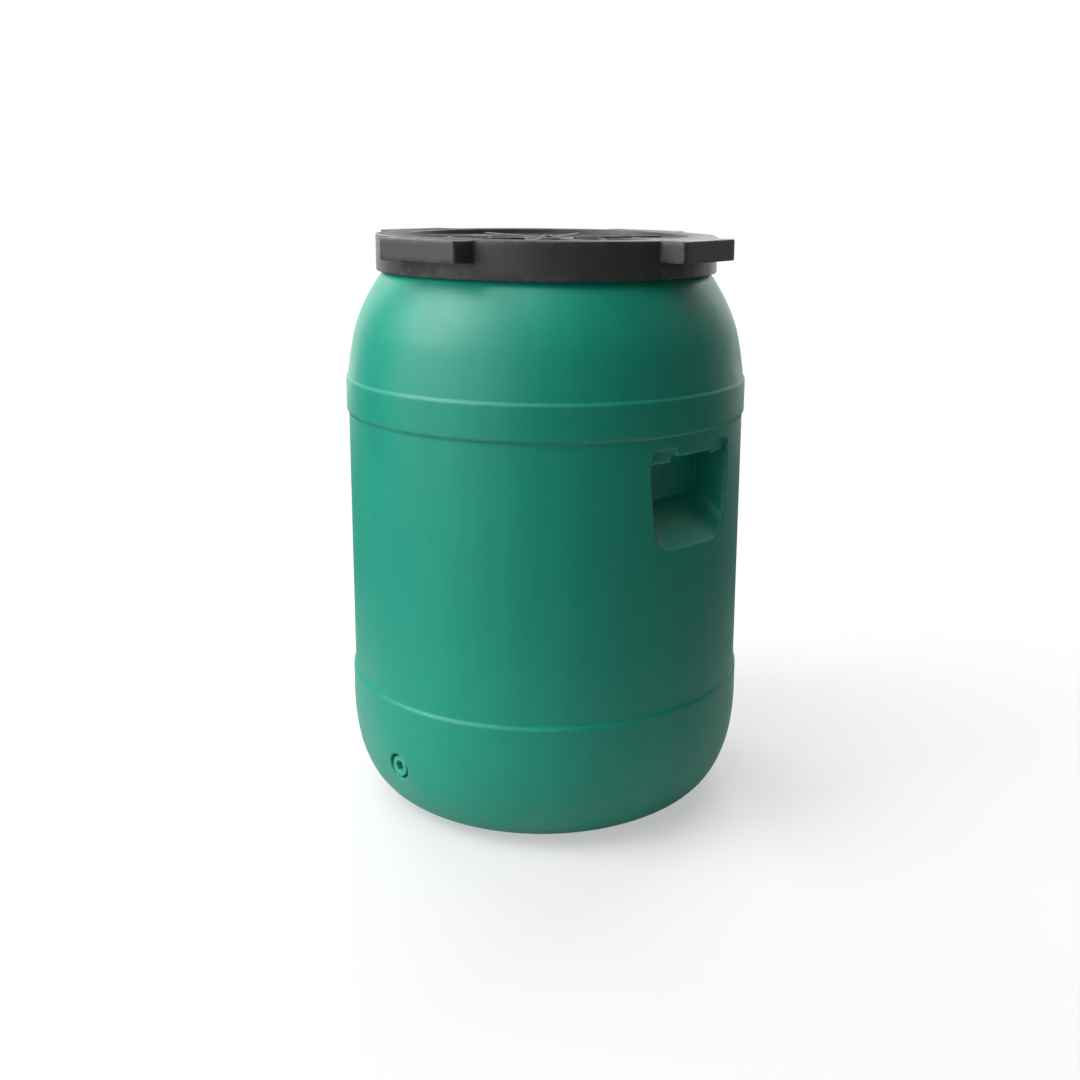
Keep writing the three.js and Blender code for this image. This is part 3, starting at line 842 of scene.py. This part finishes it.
def lug_path():
    """Stations round the lid: the point on the lugged outline, the matching point on the plain circle, and how far
    the station is into a lug."""
    out = []
    x_side = math.sqrt(R_LID**2 - LUG_HALF**2)
    half_ang = math.degrees(math.atan2(LUG_HALF, x_side))
    rc, rf = 2.6, 3.2
    for k in range(4):
        c = LUG_TURN + 90 * k
        # arc before the lug
        a0, a1 = c - 90 + half_ang + 1.35, c - half_ang - 1.35
        for t in np.linspace(a0, a1, 34)[:-1]:
            out.append((R_LID * math.cos(rad(t)), R_LID * math.sin(rad(t)), 0.0))
        local = []
        # concave corner at the foot of the lug's side
        cx = math.sqrt((R_LID + rf) ** 2 - (LUG_HALF + rf) ** 2)
        cy = -(LUG_HALF + rf)
        b0 = math.degrees(math.atan2(-cy, -cx))
        for j, t in enumerate(np.linspace(b0, 90, 6)):
            local.append((cx + rf * math.cos(rad(t)), cy + rf * math.sin(rad(t)), j / 5))
        for x in np.linspace(cx, LUG_FACE - rc, 6)[1:-1]:
            local.append((x, -LUG_HALF, 1.0))
        for t in np.linspace(-90, 0, 6):
            local.append((LUG_FACE - rc + rc * math.cos(rad(t)), -LUG_HALF + rc + rc * math.sin(rad(t)), 1.0))
        for y in np.linspace(-LUG_HALF + rc, 0, 9)[1:]:
            local.append((LUG_FACE, y, 1.0))
        local += [(x, -y, w) for x, y, w in reversed(local[:-1])]
        ca, sa = math.cos(rad(c)), math.sin(rad(c))
        for x, y, w in local:
            out.append((x * ca - y * sa, x * sa + y * ca, w))
    return np.array(out)


path = lug_path()
P2 = path[:, :2]
lugness = path[:, 2]
ang = np.unwrap(np.arctan2(P2[:, 1], P2[:, 0]))
# the matching stations on the circle keep their order
ang = np.maximum.accumulate(ang)
for k in range(1, len(ang)):
    if ang[k] <= ang[k - 1] + 1e-4:
        ang[k] = ang[k - 1] + 1e-4
unit = np.stack([np.cos(ang), np.sin(ang)], axis=1)
tan_ = np.roll(P2, -1, axis=0) - np.roll(P2, 1, axis=0)
tan_ /= np.linalg.norm(tan_, axis=1, keepdims=True)
nout = np.stack([tan_[:, 1], -tan_[:, 0]], axis=1)


def lid_rows():
    rows = []
    w = lugness[:, None]

    def circle(r, z):
        rows.append(np.concatenate([unit * r, np.full((len(unit), 1), z)], axis=1))

    def edge(inset, z):
        rows.append(np.concatenate([P2 - nout * inset, np.full((len(unit), 1), z)], axis=1))

    def mixed(lug_xy, z_lug, r_plain, z_plain):
        plain = np.concatenate([unit * r_plain, np.full((len(unit), 1), z_plain)], axis=1)
        lug = np.concatenate([lug_xy, np.full((len(unit), 1), z_lug)], axis=1)
        rows.append(lug * w + plain * (1 - w))

    # panel, from its middle outwards: sunk field, step, then the flat ring
    for r, z in fillet([(7.5, Z_PANEL + 2), (26, Z_PANEL + 2), (27.6, Z_PANEL), (56, Z_PANEL), (57.2, Z_PANEL + 0.9), (59.8, Z_PANEL + 0.9), (61, Z_PANEL), (98, Z_PANEL),
                        (99.2, Z_PANEL + 0.9), (101.8, Z_PANEL + 0.9), (103, Z_PANEL), (R_PANEL - 0.6, Z_PANEL), (R_PANEL, 565), (156, 565)],
                       [0, 0.8, 0.9, 0.5, 0.5, 0.5, 0.5, 0.5, 0.5, 0.5, 0.5, 1.3, 1.1, 0], 3):
        circle(r, z)
    circle(161, 565)
    circle(165.6, 565)
    edge(1.5, 565)
    edge(0.75, 564.8)
    edge(0.22, 564.25)
    edge(0, 563.5)
    edge(0, 560)
    edge(0, 554)
    b = LUG_LOW
    mixed(P2, b + 4.5, R_LID, b + 5)
    mixed(P2, b + 1.0, R_LID, b + 2)
    mixed(P2 - nout * 0.25, b + 0.35, R_LID, b + 1.2)
    mixed(P2 - nout * 0.9, b, R_LID, b + 0.6)
    mixed(unit * (R_LID + 0.9) * 0.5 + (P2 - nout * 0.9) * 0.5, b, R_LID, b + 0.2)
    mixed(unit * (R_LID + 0.9), b, R_LID, b - 0.2)
    mixed(unit * (R_LID + 0.25), b - 0.3, R_LID, b - 0.6)
    mixed(unit * R_LID, b - 1.0, R_LID, b - 1.2)
    for r, z in fillet([(R_LID, 540), (R_LID, 530), (R_LID_IN, 530), (R_LID_IN, 561.8), (150, 561.8), (150, 559.2), (148, 559.2), (148, 561.8), (143.2, 561.8), (143.2, 556.8), (120, 556.8)],
                       [0, 0.9, 0.7, 1.0, 0.3, 0.5, 0.5, 0.3, 0.8, 0.8, 0], 3):
        circle(r, z)
    for r in (90, 60, 30, 8):
        circle(r, 556.8)
    return rows


def loft(rows, cap_top=None, cap_low=None):
    s = Shape()
    n = len(rows[0])
    starts = [s.add(r, []) for r in rows]
    for a, b in zip(starts[:-1], starts[1:]):
        for k in range(n):
            k2 = (k + 1) % n
            s.f.append((a + k, b + k, b + k2, a + k2))
    if cap_top is not None:
        p = s.add([cap_top], [])
        for k in range(n):
            s.f.append((p, starts[0] + k, starts[0] + (k + 1) % n))
    if cap_low is not None:
        p = s.add([cap_low], [])
        for k in range(n):
            s.f.append((p, starts[-1] + (k + 1) % n, starts[-1] + k))
    return s


lid_shape = loft(lid_rows(), (0, 0, Z_PANEL + 2), (0, 0, 556.8))
lid = finish_mesh("lid_shell", lid_shape, black, wear=False)

# Hollow the lugs from below, leaving two webs in each.
cutters = Shape()
for k in range(4):
    rot = Matrix.Rotation(rad(LUG_TURN + 90 * k), 4, "Z")
    cell = (2 * LUG_HALF - 4 * 3.0) / 3
    for j in range(3):
        y0 = -LUG_HALF + 3 + j * (cell + 3)
        pts, fcs = [], []
        sec = arc(LUG_FACE - 2.8 - 1.5, y0 + cell - 1.5, 1.5, 0, 90, 3) + [(160, y0 + cell), (160, y0)] + arc(LUG_FACE - 2.8 - 1.5, y0 + 1.5, 1.5, -90, 0, 3)
        # the cell's inner side follows the skirt
        sec = [(x, y) if x > 161 else (math.sqrt((R_LID) ** 2 - y * y), y) for x, y in sec]
        mid = [(math.sqrt(R_LID**2 - y * y), y) for y in np.linspace(y0 + cell, y0, 7)[1:-1]]
        at = next(i for i, q in enumerate(sec) if abs(q[1] - (y0 + cell)) < 1e-6 and abs(q[0] - math.sqrt(R_LID**2 - q[1] ** 2)) < 1e-6)
        sec = sec[:at + 1] + mid + sec[at + 1:]
        m = len(sec)
        lo = [(x, y, 540.0) for x, y in sec]
        hi = [(x, y, 562.0) for x, y in sec]
        fcs = [tuple(range(m - 1, -1, -1)), tuple(range(m, 2 * m))]
        for q in range(m):
            q2 = (q + 1) % m
            fcs.append((q, q2, m + q2, m + q))
        part = Shape()
        part.add(lo + hi, fcs)
        cutters.merge(part.turned(rot))
cut = finish_mesh("lug_cells", cutters, black, wear=False)
mod = lid.modifiers.new("cells", "BOOLEAN")
mod.operation = "DIFFERENCE"
mod.solver = "EXACT"
mod.object = cut
dg = bpy.context.evaluated_depsgraph_get()
cut_mesh = bpy.data.meshes.new_from_object(lid.evaluated_get(dg))
lid.modifiers.clear()
lid.data = cut_mesh
bpy.data.objects.remove(cut, do_unlink=True)


def add_to(ob, shape):
    """Adds closed pieces of the same moulding to an object's mesh."""
    bm = bmesh.new()
    bm.from_mesh(ob.data)
    vs = [bm.verts.new((x * MM, y * MM, z * MM)) for x, y, z in shape.v]
    new = []
    for f in shape.f:
        try:
            new.append(bm.faces.new([vs[i] for i in f]))
        except ValueError:
            pass
    bmesh.ops.recalc_face_normals(bm, faces=new)
    bm.to_mesh(ob.data)
    bm.free()


extras = Shape()
for k in range(8):
    rib = rounded_bar(24, R_PANEL - 2, 1.5, Z_PANEL - 1, Z_PANEL + 2, r=0.9, end=4)
    extras.merge(rib.turned(Matrix.Rotation(rad(LUG_TURN + 22.5 + 45 * k), 4, "Z")))
extras.merge(lathe(fillet([(0, 560.5), (6.2, 560.5), (5.4, 563.2), (4.2, 564), (0, 564)], [0, 0, 0.6, 0.8, 0], 4), 48))
for k in range(3):
    extras.merge(helix(165.2, 162.2, 4.0, 1.9, 536.5 + 2 - 3.4, 120 * k + 30, 110, 24, 64, fade=0.12))
add_to(lid, extras)
lid.data.shade_smooth()
lid.data.set_sharp_from_angle(angle=rad(38))
edge_wear(lid.data)
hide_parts("screw_lid")
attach(lid, "lid")

# ------------------------------------------------------------------ lid gasket
gasket = finish_mesh("gasket_ring", lathe(fillet([(157.7, 558.5), (162.6, 558.5), (162.6, 561.5), (152, 561.5), (152, 558.5), (156.3, 558.5), (157.0, 558.95), (157.69, 558.5)],
                                                 [0, 0.7, 0.6, 0.6, 0.7, 0, 0, 0], 4), 192), seal_black)
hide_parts("lid_gasket")
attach(gasket, "gasket_ring")

# ------------------------------------------------------------------ inner sealing disc
Z_DISC, Z_FL = 533.0, 556.2
disc_shape = lathe(fillet([(0, Z_DISC), (150.5, Z_DISC), (155.5, Z_DISC + 5), (155.5, Z_FL), (161, Z_FL), (161, Z_FL + 2), (153.3, Z_FL + 2), (153.3, Z_DISC + 5.4), (149.8, Z_DISC + 2.2),
                           (124.4, Z_DISC + 2.2), (123, Z_DISC + 3.4), (120.5, Z_DISC + 3.4), (119, Z_DISC + 2.2), (62, Z_DISC + 2.2), (60.8, Z_DISC + 3.4), (58.2, Z_DISC + 3.4), (57, Z_DISC + 2.2), (0, Z_DISC + 2.2)],
                          [0, 3, 3, 0.8, 0.7, 0.7, 0.9, 2.0, 2.0, 0.8, 0.5, 0.5, 0.8, 0.8, 0.5, 0.5, 0.8, 0], 4), 192)
for s_ in (-1, 1):
    tab = Shape()
    prof = fillet([(s_ * 96 + 5, Z_DISC + 1.2), (s_ * 96 + 5, Z_DISC + 2.3), (s_ * 96 + 1.5, Z_DISC + 5), (s_ * 96 + 1.3, Z_DISC + 20), (s_ * 96 - 1.3, Z_DISC + 20),
                   (s_ * 96 - 1.5, Z_DISC + 5), (s_ * 96 - 5, Z_DISC + 2.3), (s_ * 96 - 5, Z_DISC + 1.2)], [0, 0, 3, 1.1, 1.1, 3, 0, 0], 4)
    m = len(prof)
    stations = [(-28, 0.0), (-27.6, 0.35), (-26.4, 0.7), (-23.5, 0.93), (-20, 1.0), (20, 1.0), (23.5, 0.93), (26.4, 0.7), (27.6, 0.35), (28, 0.0)]
    starts = []
    for y, f in stations:
        low_top = Z_DISC + 2.3
        starts.append(tab.add([(x, y, z if z < low_top else low_top + (z - low_top) * (0.6 + 0.4 * f)) for x, z in prof], []))
    for a, b in zip(starts[:-1], starts[1:]):
        for k in range(m):
            k2 = (k + 1) % m
            tab.f.append((a + k, a + k2, b + k2, b + k))
    tab.f.append(tuple(range(starts[0], starts[0] + m)))
    tab.f.append(tuple(range(starts[-1] + m - 1, starts[-1] - 1, -1)))
    disc_shape.merge(tab)
disc = finish_mesh("inner_lid", disc_shape, natural, sharp=40)
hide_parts("inner_disc")
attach(disc, "disc")

# ------------------------------------------------------------------ drain plug and its seal
# Drawn about Z with z as the distance from the drum's axis, then laid along -Y.
LAY = Matrix.Translation((0, 0, DRAIN_Z)) @ Matrix.Rotation(rad(90), 4, "X")
HEAD_BACK, HEAD_FACE = DRAIN_SEAT + 2.6, DRAIN_SEAT + 7.8


def plug_mesh():
    n = 72
    a = np.radians(np.arange(n) * 360 / n)
    hexr = 5.5 * math.cos(math.pi / 6) / np.cos((a % (math.pi / 3)) - math.pi / 6)
    rows = []

    def ring(r, z):
        rows.append(np.stack([r * np.cos(a), r * np.sin(a), np.full(n, z)], axis=1))

    def hexring(f, z, soft=0.0):
        r = hexr * f * (1 - soft) + 5.1 * f * soft
        rows.append(np.stack([r * np.cos(a), r * np.sin(a), np.full(n, z)], axis=1))

    hexring(0.55, HEAD_FACE - 9.5)
    hexring(0.93, HEAD_FACE - 9.5)
    hexring(1.0, HEAD_FACE - 9.0)
    hexring(1.0, HEAD_FACE - 5)
    hexring(1.0, HEAD_FACE - 0.9)
    hexring(1.05, HEAD_FACE - 0.3, 0.15)
    hexring(1.13, HEAD_FACE, 0.4)
    for r, z in fillet([(7.2, HEAD_FACE), (7.6, HEAD_FACE - 0.25), (8.0, HEAD_FACE - 0.25), (8.4, HEAD_FACE), (10, HEAD_FACE), (10, HEAD_BACK), (6.8, HEAD_BACK), (6.8, BOSS_INNER + 1), (4, BOSS_INNER + 1)],
                       [0, 0.15, 0.15, 0.15, 0.9, 0.6, 0.5, 0.9, 0], 4):
        ring(r, z)
    ring(2.0, BOSS_INNER + 1)
    s = loft(rows, (0, 0, HEAD_FACE - 9.5), (0, 0, BOSS_INNER + 1))
    s.merge(helix(6.8, 7.9, 2.0, 0.7, BOSS_INNER + 3.2, 0, 900, 3, 200, fade=0.06, bite=0.7))
    return s.turned(LAY)


plug = finish_mesh("drain_bung", plug_mesh(), green_plug, sharp=35)
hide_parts("drain_plug")
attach(plug, "plug")
seal = finish_mesh("bung_seal", lathe(fillet([(9.0, 188.3), (9.8, 188.3), (9.8, 190.3), (8.1, 190.3), (8.1, 188.3), (8.99, 188.3)], [0, 0.5, 0.5, 0.5, 0.5, 0], 4), 64, LAY), seal_black)
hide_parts("drain_plug_seal")
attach(seal, "plug_seal")

# ------------------------------------------------------------------ floor, light and world
fl = Shape()
fl.add([(0, 0, -0.2)] + [(1400 * math.cos(2 * math.pi * k / 96), 1400 * math.sin(2 * math.pi * k / 96), -0.2) for k in range(96)],
       [(0, 1 + k, 1 + (k + 1) % 96) for k in range(96)])
floor_mat = bpy.data.materials.new("pale_floor")
nt, bs = nodes_of(floor_mat)
bs.inputs["Base Color"].default_value = (0.86, 0.86, 0.86, 1)
bs.inputs["Roughness"].default_value = 0.9
bs.inputs["Specular IOR Level"].default_value = 0.1
# the sheet thins out with the distance from the object, so the white sweep behind shows through
fn = Net(nt)
fx, fy, fz = fn.sep()
far = fn.math("SQRT", fn.math("ADD", fn.math("MULTIPLY", fx, fx), fn.math("MULTIPLY", fy, fy)))
fn.link(fn.ramp(far, 0.2, 0.95, 0.55, 0.0), bs.inputs["Alpha"])
floor = finish_mesh("floor", fl, floor_mat, wear=False)

scene = bpy.context.scene
scene.view_settings.view_transform = "Standard"
scene.view_settings.look = "None"


def area(name, az, el, dist, size, power, colour=(1, 1, 1), target=(0, 0, 0.3), size_y=None):
    """A softbox. az is measured from the camera's direction, positive to its right; el is above level."""
    d = bpy.data.lights.new(name, "AREA")
    d.energy = power
    d.color = colour
    d.shape = "RECTANGLE"
    d.size = size
    d.size_y = size_y or size
    o = bpy.data.objects.new(name, d)
    a = AZ + rad(az)
    pos = Vector((math.sin(a) * math.cos(rad(el)), -math.cos(a) * math.cos(rad(el)), math.sin(rad(el)))) * dist + Vector(target)
    o.location = pos
    o.rotation_euler = (Vector(target) - pos).to_track_quat("-Z", "Y").to_euler()
    scene.collection.objects.link(o)
    return o


# A broad bank of soft light on the camera's left, weak fill from the right, and panels far behind that catch both edges.
for az_, el_, watts in (
    (-75, 38, 42.0), (-55, 38, 8.6), (-35, 38, 4.4), (-95, 38, 4.2), (-120, 38, 1.8), (-75, 8, 11.0), (-55, 8, 4.8), (-35, 8, 6.5),
    (-40, 70, 17.0), (100, 38, 1.0), (125, 38, 3.0), (125, 8, 3.0), (155, 38, 34.0), (-150, 38, 24.0), (-150, 8, 12.0), (150, 8, 9.0),
):
    area("panel_%+d_%d" % (az_, el_), az_, el_, 2.6, 1.5, watts)

world = bpy.data.worlds.new("studio")
scene.world = world
world.use_nodes = True
wn = world.node_tree
wn.nodes.clear()
wo = wn.nodes.new("ShaderNodeOutputWorld")
wb = wn.nodes.new("ShaderNodeBackground")
wb.inputs["Color"].default_value = (1, 1, 1, 1)
# a dim sky above, and the light a pale floor throws back from below
wt = wn.nodes.new("ShaderNodeTexCoord")
wz = wn.nodes.new("ShaderNodeSeparateXYZ")
wr_ = wn.nodes.new("ShaderNodeMapRange")
wr_.inputs["From Min"].default_value = -0.15
wr_.inputs["From Max"].default_value = 0.15
wr_.inputs["To Min"].default_value = 0.14
wr_.inputs["To Max"].default_value = 0.085
wn.links.new(wt.outputs["Generated"], wz.inputs[0])
wn.links.new(wz.outputs[2], wr_.inputs["Value"])
wn.links.new(wr_.outputs[0], wb.inputs["Strength"])
wc = wn.nodes.new("ShaderNodeBackground")
wc.inputs["Color"].default_value = (1, 1, 1, 1)
wc.inputs["Strength"].default_value = 1.0
lp = wn.nodes.new("ShaderNodeLightPath")
wm = wn.nodes.new("ShaderNodeMixShader")
wn.links.new(lp.outputs["Is Camera Ray"], wm.inputs[0])
wn.links.new(wb.outputs[0], wm.inputs[1])
wn.links.new(wc.outputs[0], wm.inputs[2])
wn.links.new(wm.outputs[0], wo.inputs[0])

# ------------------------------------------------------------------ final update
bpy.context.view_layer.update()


def plain(b):
    return [[float(v) for v in corner] for corner in b]
